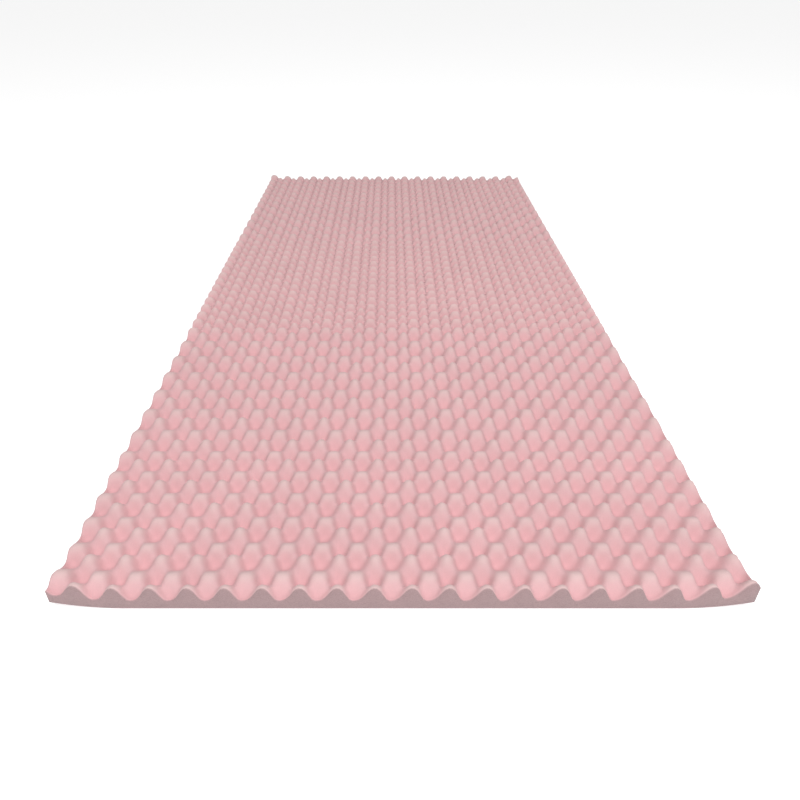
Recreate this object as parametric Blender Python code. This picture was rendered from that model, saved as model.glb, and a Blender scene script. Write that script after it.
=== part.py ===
"""Mattress topper: one slab of convoluted foam, flat underneath, with five zones of rounded bumps.

Metres, +Z up. X runs across the topper, Y along it from the near end (-Y) to the far end (+Y).
The origin is at the middle of the underside, on the surface that the topper lies on.
"""
import math

import bmesh
import bpy

OBJECT_NAME = "mattress_topper"
FOAM_NAME = "foam_slab"

# The slab
WIDTH = 0.900
LENGTH = 1.900
CREST_HEIGHT = 0.040
VALLEY_HEIGHT = 0.015
MIDDLE_HEIGHT = (CREST_HEIGHT + VALLEY_HEIGHT) / 2
SWELL = (CREST_HEIGHT - VALLEY_HEIGHT) / 2

# Across the width. Rows come in pairs: the second row of a pair has its crests half a pitch to the left.
CRESTS_PER_ROW = 19
PITCH = WIDTH / CRESTS_PER_ROW
LEAD_CREST = 0.8        # first crest of a lead row, in pitches from the left side
STAGGER = 0.5           # shift of the second row of a pair, in pitches
VALLEY_PLACE = 0.44     # valley to the right of a crest, in pitches: the bumps are steeper on their right

# Along the length. Each line is a run of row pairs, from the near end to the far end.
FIRST_ROW = 0.004       # near end to the first row's crests
#            pairs, pair pitch, lead row to second row
ROW_ZONES = (
    (6, 0.0504, 0.0190),     # near end
    (6, 0.0625, 0.0210),     # wide rows
    (1, 0.0450, 0.0240),     # change of pitch
    (13, 0.0370, 0.0187),    # close rows under the hips
    (1, 0.0450, 0.0225),     # change of pitch
    (5, 0.0619, 0.0318),     # wide rows
    (1, 0.0549, 0.0300),     # change of pitch
    (6, 0.0497, 0.0234),     # far end
)
CUT_SWELL = 0.6         # share of the swell left where the two ends are cut through their last row

# The corners have curled up a little.
NEAR_CURL = 0.012
FAR_CURL = 0.007
CURL_REACH = 0.095

FLAT_ANGLE = math.radians(0.1)
FOAM_COLOUR = (0.71, 0.42, 0.43, 1.0)
FOAM_ROUGHNESS = 0.9


def clear_scene():
    for item in list(bpy.data.objects):
        bpy.data.objects.remove(item)


def column_places():
    """Places across the width: both sides, and every crest and valley between them."""
    second_crest = LEAD_CREST - STAGGER
    steps = range(2 * CRESTS_PER_ROW)
    inner = [-WIDTH / 2 + PITCH * (second_crest + STAGGER * step) for step in steps]
    return [-WIDTH / 2] + inner + [WIDTH / 2]


def row_places():
    """Rows along the length, as (place, crest shift in pitches, share of the swell)."""
    near, far = -LENGTH / 2, LENGTH / 2
    rows = [(near, 0.0, CUT_SWELL)]
    lead = near + FIRST_ROW
    for pairs, pair_pitch, second_row in ROW_ZONES:
        for _ in range(pairs):
            rows.append((lead, 0.0, 1.0))
            rows.append((lead + second_row, STAGGER, 1.0))
            lead += pair_pitch
    rows.append((far, STAGGER, CUT_SWELL))
    return rows


def cross_section(pitches):
    """Height of a row at a place counted in pitches past a crest: 1 on the crest, -1 in the valley."""
    place = pitches % 1.0
    if place < VALLEY_PLACE:
        return math.cos(math.pi * place / VALLEY_PLACE)
    return math.cos(math.pi * (1.0 - place) / (1.0 - VALLEY_PLACE))


def foam_height(x, shift, share):
    pitches = (x + WIDTH / 2) / PITCH - LEAD_CREST + shift
    return MIDDLE_HEIGHT + SWELL * share * cross_section(pitches)


def corner_curl(x, y):
    """How far the slab has lifted off the surface at a place: nothing but near the four corners."""
    from_corner = math.hypot(WIDTH / 2 - abs(x), LENGTH / 2 - abs(y))
    rise = NEAR_CURL if y < 0 else FAR_CURL
    return rise * max(0.0, 1.0 - from_corner / CURL_REACH) ** 2


def is_valley(column, shift):
    """Columns alternate: odd ones carry the crests of second rows, even ones those of lead rows."""
    on_second_column = column % 2 == 1
    return on_second_column != (shift == STAGGER)


def shape_foam(bm, columns, rows):
    """One closed solid: a flat grid is the underside, and its extrusion is the bumpy top."""
    across = len(columns) - 1
    along = len(rows) - 1
    bmesh.ops.create_grid(bm, x_segments=across, y_segments=along, size=0.5)
    place_of = {}
    for vert in bm.verts:
        column = round((vert.co.x + 0.5) * across)
        row = round((vert.co.y + 0.5) * along)
        place_of[vert] = (column, row)
    under_faces = list(bm.faces)
    top = bmesh.ops.extrude_face_region(bm, geom=under_faces)
    top_verts = [item for item in top["geom"] if isinstance(item, bmesh.types.BMVert)]
    top_faces = [item for item in top["geom"] if isinstance(item, bmesh.types.BMFace)]
    for vert in top_verts:
        column = round((vert.co.x + 0.5) * across)
        row = round((vert.co.y + 0.5) * along)
        place_of[vert] = (column, row)

    valleys = []
    valley_shift = PITCH * (STAGGER - VALLEY_PLACE)
    on_top = set(top_verts)
    for vert, (column, row) in place_of.items():
        x = columns[column]
        y, shift, share = rows[row]
        if vert not in on_top:
            vert.co = (x, y, corner_curl(x, y))
            continue
        inside = 0 < column < across
        if inside and is_valley(column, shift):
            x -= valley_shift
            valleys.append(vert)
        vert.co = (x, y, foam_height(x, shift, share) + corner_curl(x, y))
    return under_faces, top_faces, valleys, place_of


def refine_top(bm, top_faces, valleys, place_of):
    """Every other face of the top gets the saddle at its middle, and the rest fold along their valleys."""
    saddles = []
    for face in top_faces:
        column, row = min(place_of[vert] for vert in face.verts)
        if (column + row) % 2 == 0:
            saddles.append(face)
    bmesh.ops.poke(bm, faces=saddles)
    bmesh.ops.connect_verts(bm, verts=valleys)


def flatten_underside(bm, under_faces):
    """The flat part of the underside becomes one face."""
    inner_edges = {edge for face in under_faces for edge in face.edges if not edge.is_boundary}
    edges = [edge for edge in inner_edges if all(face in under_faces for face in edge.link_faces)]
    verts = {vert for edge in edges for vert in edge.verts}
    bmesh.ops.dissolve_limit(bm, angle_limit=FLAT_ANGLE, verts=list(verts), edges=edges)


def foam_material():
    material = bpy.data.materials.new("foam")
    material.use_nodes = True
    shader = material.node_tree.nodes["Principled BSDF"]
    shader.inputs["Base Color"].default_value = FOAM_COLOUR
    shader.inputs["Roughness"].default_value = FOAM_ROUGHNESS
    shader.inputs["Metallic"].default_value = 0.0
    return material


def make_foam():
    bm = bmesh.new()
    under_faces, top_faces, valleys, place_of = shape_foam(bm, column_places(), row_places())
    refine_top(bm, top_faces, valleys, place_of)
    flatten_underside(bm, under_faces)
    bmesh.ops.recalc_face_normals(bm, faces=bm.faces)
    mesh = bpy.data.meshes.new(FOAM_NAME)
    bm.to_mesh(mesh)
    bm.free()
    mesh.materials.append(foam_material())
    return bpy.data.objects.new(FOAM_NAME, mesh)


def main():
    clear_scene()
    collection = bpy.data.collections.new(OBJECT_NAME)
    bpy.context.scene.collection.children.link(collection)
    collection.objects.link(make_foam())


main()
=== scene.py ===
"""Looks of the mattress topper: one slab of convoluted foam with five zones of bumps, on a pale floor.

Metres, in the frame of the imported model: X across the topper, Y along it from the near end to the far
end, +Z up, and the origin at the middle of the underside.
"""

import math

import bmesh
import bpy
import numpy as np
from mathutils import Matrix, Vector


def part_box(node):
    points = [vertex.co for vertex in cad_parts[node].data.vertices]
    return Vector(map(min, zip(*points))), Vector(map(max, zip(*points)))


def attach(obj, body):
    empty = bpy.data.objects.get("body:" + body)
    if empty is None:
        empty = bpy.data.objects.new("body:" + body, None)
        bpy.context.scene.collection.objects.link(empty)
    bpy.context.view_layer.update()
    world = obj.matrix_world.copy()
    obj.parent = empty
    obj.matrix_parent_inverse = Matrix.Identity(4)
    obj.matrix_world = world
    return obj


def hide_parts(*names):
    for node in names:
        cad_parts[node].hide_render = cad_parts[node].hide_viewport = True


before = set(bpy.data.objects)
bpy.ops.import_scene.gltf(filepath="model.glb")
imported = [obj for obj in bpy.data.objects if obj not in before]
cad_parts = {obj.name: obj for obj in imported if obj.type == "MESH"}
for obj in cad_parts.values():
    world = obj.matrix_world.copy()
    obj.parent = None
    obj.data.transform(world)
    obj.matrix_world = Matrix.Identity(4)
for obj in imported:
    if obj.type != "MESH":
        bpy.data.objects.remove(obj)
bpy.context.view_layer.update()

# The slab
SLAB_LOW, SLAB_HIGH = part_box("foam_slab")
WIDTH = SLAB_HIGH.x - SLAB_LOW.x
LENGTH = SLAB_HIGH.y - SLAB_LOW.y
CREST_HEIGHT = 0.040
VALLEY_HEIGHT = 0.015
EDGE_ROUND = 0.0015     # the cut edges are softened this much

# Across the width
CRESTS_PER_ROW = 19
PITCH = WIDTH / CRESTS_PER_ROW
LEAD_CREST = 0.75       # first crest of a lead row, in pitches from the left side
STAGGER = 0.5           # shift of the second row of a pair, in pitches

# Along the length: runs of row pairs, from the near end to the far end
FIRST_ROW = 0.004       # near end to the first row's crests
#            pairs, pair pitch, lead row to second row
ROW_ZONES = (
    (6, 0.0504, 0.0210),     # near end
    (6, 0.0625, 0.0270),     # wide rows
    (1, 0.0450, 0.0240),     # change of pitch
    (13, 0.0370, 0.0187),    # close rows under the hips
    (1, 0.0450, 0.0225),     # change of pitch
    (5, 0.0619, 0.0318),     # wide rows
    (1, 0.0549, 0.0300),     # change of pitch
    (6, 0.0497, 0.0234),     # far end
)

# The form of a bump. A row's section falls from each crest to the valleys on its right and left. It is
# given by the right-hand valley's place in pitches, and by the power that bends each fall.
LEAD_SECTION = (0.43, 1.20, 0.75)
SECOND_SECTION = (0.47, 1.25, 1.10)
LEAD_FLATNESS = 1.0                     # how flat the tops and bottoms of a row's section are
SECOND_FLATNESS = 1.45
NEAR_SECOND_SHARE = 0.92                # second rows' height in the two near zones, as a share of the swell
FAR_SECOND_SHARE = 1.0                  # and beyond them
CROWDING = 1.1                          # how little neighbouring rows add up where they meet

# The corners have curled up a little.
NEAR_CURL = 0.012
FAR_CURL = 0.007
CURL_REACH = 0.095

# The mesh
STEPS_PER_PITCH = 12
STEPS_PER_PAIR = 10
SEARCH_STEPS = 20000    # along the length, to find where each row lies
CREASE_ANGLE = math.radians(50)
FOAM_NAME = "convoluted_foam"

# Colours, as linear light
# The crest, slope and valley colours paint light by height: the crests paler and greyer as a painted sheen,
# the valleys pinker and darker as painted shade and bounce light.
PAINTED_SHEEN_CREST_COLOUR = (0.770, 0.562, 0.550)
SLOPE_COLOUR = (0.775, 0.487, 0.500)
PAINTED_BOUNCE_VALLEY_COLOUR = (0.765, 0.450, 0.470)
# The cut colour is darker as painted shade: the cut sides and the underside are turned away from the key
# light.
PAINTED_SHADE_CUT_COLOUR = (0.410, 0.278, 0.283)
SLOPE_PLACE = 0.55      # where on a bump the slope's colour is, from valley to crest
FLOOR_COLOUR = (0.62, 0.62, 0.62)
WHITE = (1.0, 1.0, 1.0)

# The foam's texture. Scales are features per metre. Tones are the factors on the colour where a pattern
# is lowest and highest.
PATCH_SCALE = 9.0
PATCH_DETAIL = 4.0
PATCH_TONES = (0.94, 1.06)
GRAIN_SCALE = 900.0
GRAIN_DETAIL = 2.0
GRAIN_TONES = (0.93, 1.07)
NOISE_ROUGHNESS = 0.6
CELL_SCALE = 620.0
CELL_TONES = (1.06, 0.86)           # at a cell's middle and at its wall
RELIEF_DEPTH = 0.0006
RELIEF_STRENGTHS = (0.25, 0.9)      # on the moulded top and on a cut face
FOAM_ROUGHNESS = 0.93
FOAM_SPECULAR = 0.15
SHEEN_WEIGHT = 0.15
SHEEN_ROUGHNESS = 0.6

# The studio: a glowing pale floor, a sky that is white low down, and one soft box before the near end
FLOOR_SIZE = 80.0
FLOOR_GAP = 0.0005      # floor below the topper
FLOOR_GLOW = 0.68
FLOOR_ROUGHNESS = 0.9
KEY_PLACE = Vector((0.45, -LENGTH / 2 - 1.9, 4.2))
KEY_SIZE = 2.4
KEY_POWER = 155.0
SKY_LOW = 0.75          # brightness of the sky at the horizon
SKY_HIGH = 0.32         # and overhead
SKY_TURN = 0.5          # upward part of a direction from which the sky is as overhead

# The camera stands before the near end and looks down along the topper.
CAMERA_BACK = 0.5538
CAMERA_HEIGHT = 0.6948
CAMERA_LEFT = 0.0139
CAMERA_PITCH = math.radians(33.8)
CAMERA_SENSOR = 36.0
CAMERA_LENS = 29.58
CAMERA_SHIFT = 0.01125
CAMERA_NEAREST = 0.01


def row_stations():
    """Places of the rows along the length, and their count: whole at lead rows, half at second rows.

    One row more at either end, past the slab, carries the pattern over the cuts.
    """
    places = []
    lead = FIRST_ROW
    for pairs, pair_pitch, second_row in ROW_ZONES:
        for _ in range(pairs):
            places += [lead, lead + second_row]
            lead += pair_pitch
    places.append(lead)
    before = 2 * places[0] - places[1]
    after = 2 * places[-1] - places[-2]
    places = np.array([before] + places + [after])
    counts = np.arange(len(places)) / 2 - 0.5
    return places, counts


def rows_at(y):
    """The row count at places along the length, on a smooth curve that never turns back."""
    places, counts = row_stations()
    slopes = np.diff(counts) / np.diff(places)
    inner_tangents = 2 * slopes[:-1] * slopes[1:] / (slopes[:-1] + slopes[1:])
    tangents = np.concatenate((slopes[:1], inner_tangents, slopes[-1:]))
    step = np.clip(np.searchsorted(places, y) - 1, 0, len(places) - 2)
    span = places[step + 1] - places[step]
    t = (y - places[step]) / span
    start = (2 * t**3 - 3 * t**2 + 1) * counts[step] + (t**3 - 2 * t**2 + t) * span * tangents[step]
    end = (3 * t**2 - 2 * t**3) * counts[step + 1] + (t**3 - t**2) * span * tangents[step + 1]
    return start + end


def row_section(pitches, section, flatness):
    """Share of the swell across a row: 1 on its crests, 0 in its valleys."""
    valley, right, left = section
    place = pitches % 1.0
    falling = np.cos(math.pi * np.clip(place / valley, 0, 1) ** right)
    rising = np.cos(math.pi * np.clip((1 - place) / (1 - valley), 0, 1) ** left)
    wave = np.where(place < valley, falling, rising)
    return (1 + np.sin(flatness * wave) / math.sin(flatness)) / 2


def second_share(y):
    """Height of the second rows, as a share of the swell: they are lower in the near zones."""
    near_zones_end = FIRST_ROW + sum(pairs * pair_pitch for pairs, pair_pitch, _ in ROW_ZONES[:2])
    change_end = near_zones_end + ROW_ZONES[2][1]
    return np.interp(y + LENGTH / 2, (near_zones_end, change_end), (NEAR_SECOND_SHARE, FAR_SECOND_SHARE))


def swell_share(x, y):
    """Share of the swell anywhere on the top: lead rows and second rows blend into each other."""
    pitches = (x + WIDTH / 2) / PITCH - LEAD_CREST
    on_lead = (1 + np.cos(2 * math.pi * rows_at(y + LENGTH / 2))) / 2
    lead = on_lead * row_section(pitches, LEAD_SECTION, LEAD_FLATNESS)
    second = (1 - on_lead) * row_section(pitches - STAGGER, SECOND_SECTION, SECOND_FLATNESS)
    return (lead**CROWDING + (second_share(y) * second) ** CROWDING) ** (1 / CROWDING)


def corner_curl(x, y):
    """How far the slab has lifted off the floor: nothing but near the four corners."""
    from_corner = np.hypot(WIDTH / 2 - np.abs(x), LENGTH / 2 - np.abs(y))
    rise = np.where(y < 0, NEAR_CURL, FAR_CURL)
    return rise * np.clip(1 - from_corner / CURL_REACH, 0, 1) ** 2


def steps_across():
    inner = WIDTH / 2 - EDGE_ROUND
    return np.linspace(-inner, inner, CRESTS_PER_ROW * STEPS_PER_PITCH + 1)


def steps_along():
    """Places along the length, as many in each pair of rows, so that every crest has its own."""
    fine = np.linspace(0, LENGTH, SEARCH_STEPS + 1)
    counts = rows_at(fine)
    first = math.ceil(counts[0] * STEPS_PER_PAIR)
    last = math.floor(counts[-1] * STEPS_PER_PAIR)
    places = np.interp(np.arange(first, last + 1) / STEPS_PER_PAIR, counts, fine)
    places = places[(places > 2 * EDGE_ROUND) & (places < LENGTH - 2 * EDGE_ROUND)]
    return np.concatenate(([EDGE_ROUND], places, [LENGTH - EDGE_ROUND])) - LENGTH / 2


def outline_ring(points, inset, height):
    """The top's border, moved to this far inside the slab's outline, at this height above the underside."""
    inside = 2 * (inset - EDGE_ROUND)
    x = points[:, 0] * (1 - inside / (WIDTH - 2 * EDGE_ROUND))
    y = points[:, 1] * (1 - inside / (LENGTH - 2 * EDGE_ROUND))
    return np.stack((x, y, corner_curl(x, y) + height), axis=1)


def make_slab_mesh():
    """One closed piece: the bumpy top, and rings from its border down the cut sides and under the slab."""
    x, y = np.meshgrid(steps_across(), steps_along())
    height = VALLEY_HEIGHT + (CREST_HEIGHT - VALLEY_HEIGHT) * swell_share(x, y)
    top = np.stack((x, y, height + corner_curl(x, y)), axis=2)
    grid = np.arange(x.size).reshape(x.shape)
    quads = np.stack((grid[:-1, :-1], grid[:-1, 1:], grid[1:, 1:], grid[1:, :-1]), axis=2)
    border = np.concatenate((grid[0, :], grid[1:, -1], grid[-1, -2::-1], grid[-2:0:-1, 0]))

    rim = top.reshape(-1, 3)[border]
    rim_height = height.reshape(-1)[border]
    half_round = EDGE_ROUND * (1 - math.sqrt(0.5))
    rings = [
        outline_ring(rim, half_round, rim_height - half_round),
        outline_ring(rim, 0, rim_height - EDGE_ROUND),
        outline_ring(rim, 0, EDGE_ROUND),
        outline_ring(rim, EDGE_ROUND, 0),
        outline_ring(rim, CURL_REACH / 2, 0),
        outline_ring(rim, CURL_REACH, 0),
    ]
    points = np.concatenate([top.reshape(-1, 3)] + rings)
    faces = quads.reshape(-1, 4).tolist()
    upper = border
    for number in range(len(rings)):
        lower = np.arange(len(border)) + x.size + number * len(border)
        band = np.stack((upper, lower, np.roll(lower, -1), np.roll(upper, -1)), axis=1)
        faces += band.tolist()
        upper = lower
    faces.append(upper[::-1].tolist())
    mesh = bpy.data.meshes.new(FOAM_NAME)
    mesh.from_pydata(points.tolist(), [], faces)
    return mesh


def paint_places(mesh):
    """What the material needs to know at each vertex: how high on a bump it is, and if it was cut."""
    places = np.empty(len(mesh.vertices) * 3)
    mesh.vertices.foreach_get("co", places)
    x, y, z = places.reshape(-1, 3).T
    height = z - corner_curl(x, y)
    swell = np.clip((height - VALLEY_HEIGHT) / (CREST_HEIGHT - VALLEY_HEIGHT), 0, 1)
    outside = np.maximum(np.abs(x) - WIDTH / 2, np.abs(y) - LENGTH / 2)
    on_side = np.clip(1 + outside / EDGE_ROUND, 0, 1)
    on_underside = height < 2 * EDGE_ROUND
    cut = np.where(on_underside, 1.0, on_side)
    for name, values in (("swell", swell), ("cut", cut)):
        attribute = mesh.attributes.new(name, "FLOAT", "POINT")
        attribute.data.foreach_set("value", values.astype(np.float32))


def feed(tree, socket, value):
    """Joins a socket to another node's output, or sets it to a plain value."""
    if isinstance(value, bpy.types.NodeSocket):
        tree.links.new(value, socket)
    else:
        socket.default_value = value


def add_node(tree, kind, **inputs):
    """A node of this kind, with its named inputs fed."""
    node = tree.nodes.new(kind)
    for name, value in inputs.items():
        feed(tree, node.inputs[name], value)
    return node


def rgba(colour):
    return (*colour, 1.0)


def mix_colours(tree, factor, first, second, blend="MIX"):
    node = tree.nodes.new("ShaderNodeMix")
    node.data_type = "RGBA"
    node.blend_type = blend
    inputs = {socket.identifier: socket for socket in node.inputs}
    feed(tree, inputs["Factor_Float"], factor)
    feed(tree, inputs["A_Color"], first)
    feed(tree, inputs["B_Color"], second)
    return next(socket for socket in node.outputs if socket.identifier == "Result_Color")


def shade(tree, colour, tone):
    return mix_colours(tree, 1.0, colour, tone, "MULTIPLY")


def scale_value(tree, value, low, high, top=1.0):
    """A value from 0 to top, mapped onto a range from low to high."""
    node = add_node(tree, "ShaderNodeMapRange", Value=value)
    node.inputs["From Max"].default_value = top
    node.inputs["To Min"].default_value = low
    node.inputs["To Max"].default_value = high
    return node.outputs["Result"]


def add_values(tree, first, second):
    node = tree.nodes.new("ShaderNodeMath")
    node.operation = "ADD"
    feed(tree, node.inputs[0], first)
    feed(tree, node.inputs[1], second)
    return node.outputs["Value"]


def read_attribute(tree, name):
    node = tree.nodes.new("ShaderNodeAttribute")
    node.attribute_name = name
    return node.outputs["Fac"]


def add_noise(tree, place, scale, detail):
    noise = add_node(
        tree, "ShaderNodeTexNoise", Vector=place, Scale=scale, Detail=detail, Roughness=NOISE_ROUGHNESS,
    )
    return noise.outputs["Fac"]


def painted_light_by_height(tree, swell):
    """Painted light by height: from the valleys' painted shade and bounce colour through the slopes' to the
    crests' painted sheen.
    """
    node = tree.nodes.new("ShaderNodeValToRGB")
    steps = node.color_ramp.elements
    steps[0].color = rgba(PAINTED_BOUNCE_VALLEY_COLOUR)
    steps[1].color = rgba(PAINTED_SHEEN_CREST_COLOUR)
    steps.new(SLOPE_PLACE).color = rgba(SLOPE_COLOUR)
    feed(tree, node.inputs["Fac"], swell)
    return node.outputs["Color"]


def foam_material():
    """Open-cell foam: pale on the crests as a painted sheen, pinker in the valleys as painted shade and
    bounce light, coarser where it was cut and darker there as painted shade.
    """
    material = bpy.data.materials.new("foam")
    material.use_nodes = True
    tree = material.node_tree
    shader = tree.nodes["Principled BSDF"]
    place = add_node(tree, "ShaderNodeTexCoord").outputs["Object"]
    swell = read_attribute(tree, "swell")
    cut = read_attribute(tree, "cut")
    patches = add_noise(tree, place, PATCH_SCALE, PATCH_DETAIL)
    grain = add_noise(tree, place, GRAIN_SCALE, GRAIN_DETAIL)
    voronoi = add_node(tree, "ShaderNodeTexVoronoi", Vector=place, Scale=CELL_SCALE, Randomness=1.0)
    cells = voronoi.outputs["Distance"]

    # The top's colour by height is painted sheen on the crests and painted shade and bounce light in the
    # valleys; the mottling on it is the foam's own.
    top_colour = shade(tree, painted_light_by_height(tree, swell), scale_value(tree, patches, *PATCH_TONES))
    top_colour = shade(tree, top_colour, scale_value(tree, grain, *GRAIN_TONES))
    # Cut faces get a darker colour as painted shade, with the foam's own cell texture on it.
    cut_shade_colour = shade(tree, rgba(PAINTED_SHADE_CUT_COLOUR), scale_value(tree, cells, *CELL_TONES))
    feed(tree, shader.inputs["Base Color"], mix_colours(tree, cut, top_colour, cut_shade_colour))

    relief = add_values(tree, cells, grain)
    strength = scale_value(tree, cut, *RELIEF_STRENGTHS)
    bump = add_node(tree, "ShaderNodeBump", Height=relief, Distance=RELIEF_DEPTH, Strength=strength)
    feed(tree, shader.inputs["Normal"], bump.outputs["Normal"])

    shader.inputs["Roughness"].default_value = FOAM_ROUGHNESS
    shader.inputs["Specular IOR Level"].default_value = FOAM_SPECULAR
    shader.inputs["Sheen Weight"].default_value = SHEEN_WEIGHT
    shader.inputs["Sheen Roughness"].default_value = SHEEN_ROUGHNESS
    return material


def make_foam():
    mesh = make_slab_mesh()
    mesh.shade_smooth()
    mesh.set_sharp_from_angle(angle=CREASE_ANGLE)
    paint_places(mesh)
    mesh.materials.append(foam_material())
    foam = bpy.data.objects.new(FOAM_NAME, mesh)
    bpy.context.scene.collection.objects.link(foam)
    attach(foam, "root")
    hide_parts("foam_slab")


def floor_material():
    material = bpy.data.materials.new("floor")
    material.use_nodes = True
    shader = material.node_tree.nodes["Principled BSDF"]
    shader.inputs["Base Color"].default_value = rgba(FLOOR_COLOUR)
    shader.inputs["Roughness"].default_value = FLOOR_ROUGHNESS
    shader.inputs["Emission Color"].default_value = rgba(WHITE)
    shader.inputs["Emission Strength"].default_value = FLOOR_GLOW
    return material


def make_floor():
    bm = bmesh.new()
    bmesh.ops.create_grid(bm, x_segments=1, y_segments=1, size=FLOOR_SIZE / 2)
    mesh = bpy.data.meshes.new("floor")
    bm.to_mesh(mesh)
    bm.free()
    mesh.materials.append(floor_material())
    floor = bpy.data.objects.new("floor", mesh)
    floor.location.z = -FLOOR_GAP
    bpy.context.scene.collection.objects.link(floor)


def make_sky():
    """White low down, and softer overhead."""
    world = bpy.data.worlds.new("studio")
    bpy.context.scene.world = world
    world.use_nodes = True
    tree = world.node_tree
    direction = add_node(tree, "ShaderNodeTexCoord").outputs["Generated"]
    up = add_node(tree, "ShaderNodeSeparateXYZ", Vector=direction).outputs["Z"]
    background = tree.nodes["Background"]
    background.inputs["Color"].default_value = rgba(WHITE)
    feed(tree, background.inputs["Strength"], scale_value(tree, up, SKY_LOW, SKY_HIGH, top=SKY_TURN))


def make_key_light():
    """One large soft box above and in front of the near end, aimed at the origin."""
    light = bpy.data.lights.new("key", "AREA")
    light.shape = "DISK"
    light.size = KEY_SIZE
    light.energy = KEY_POWER
    key = bpy.data.objects.new("key", light)
    key.location = KEY_PLACE
    key.rotation_euler = KEY_PLACE.to_track_quat("Z", "Y").to_euler()
    bpy.context.scene.collection.objects.link(key)


def make_camera():
    data = bpy.data.cameras.new("camera")
    data.sensor_width = CAMERA_SENSOR
    data.lens = CAMERA_LENS
    data.shift_x = CAMERA_SHIFT
    data.clip_start = CAMERA_NEAREST
    camera = bpy.data.objects.new("camera", data)
    camera.location = (-CAMERA_LEFT, -LENGTH / 2 - CAMERA_BACK, CAMERA_HEIGHT)
    camera.rotation_euler = (math.radians(90) - CAMERA_PITCH, 0, 0)
    bpy.context.scene.collection.objects.link(camera)
    bpy.context.scene.camera = camera


make_foam()
make_floor()
make_sky()
make_key_light()
make_camera()
bpy.context.scene.view_settings.view_transform = "Standard"
